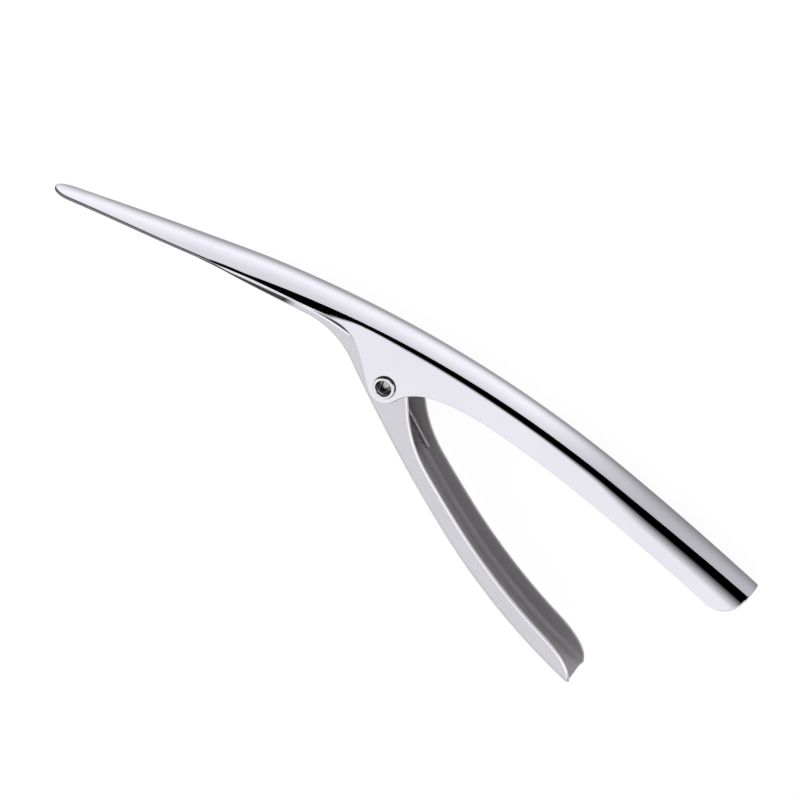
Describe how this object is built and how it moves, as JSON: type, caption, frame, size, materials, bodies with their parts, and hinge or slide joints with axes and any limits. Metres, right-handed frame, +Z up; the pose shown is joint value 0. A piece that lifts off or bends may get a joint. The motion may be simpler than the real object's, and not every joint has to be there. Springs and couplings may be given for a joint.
{
  "type": "prawn peeler",
  "caption": "Long-beaked stainless prawn peeler: a polished upper arm and a satin lever turn on a hollow rivet and spring apart.",
  "frame": {"origin": "on the table, under the middle of the tool as it lies on its side", "axes": "+X along the tool from the beak to the handle ends, +Y towards the back of the upper arm, +Z up along the rivet"},
  "size_m": [0.2021, 0.0548, 0.0186],
  "materials": {
    "polished_steel": "mirror polished stainless steel sheet",
    "satin_steel": "satin stainless steel sheet with fine lengthwise grain",
    "rivet_steel": "bright rolled stainless steel tube",
    "spring_steel": "drawn stainless spring wire"
  },
  "bodies": {
    "upper_arm": {"upper_shell": "polished_steel", "pivot_rivet": "rivet_steel", "torsion_spring": "spring_steel"},
    "lower_arm": {"lower_lever": "satin_steel"}
  },
  "joints": [
    {"name": "lever_pivot", "type": "hinge", "parent": "upper_arm", "child": "lower_arm", "pos_m": [-0.004, 0.0075, 0.0093], "axis": [0, 0, 1], "range_deg": [0, 28], "stiffness_Nm_per_rad": 0.22, "springref_deg": -51.57, "deforming": ["torsion_spring"]}
  ]
}
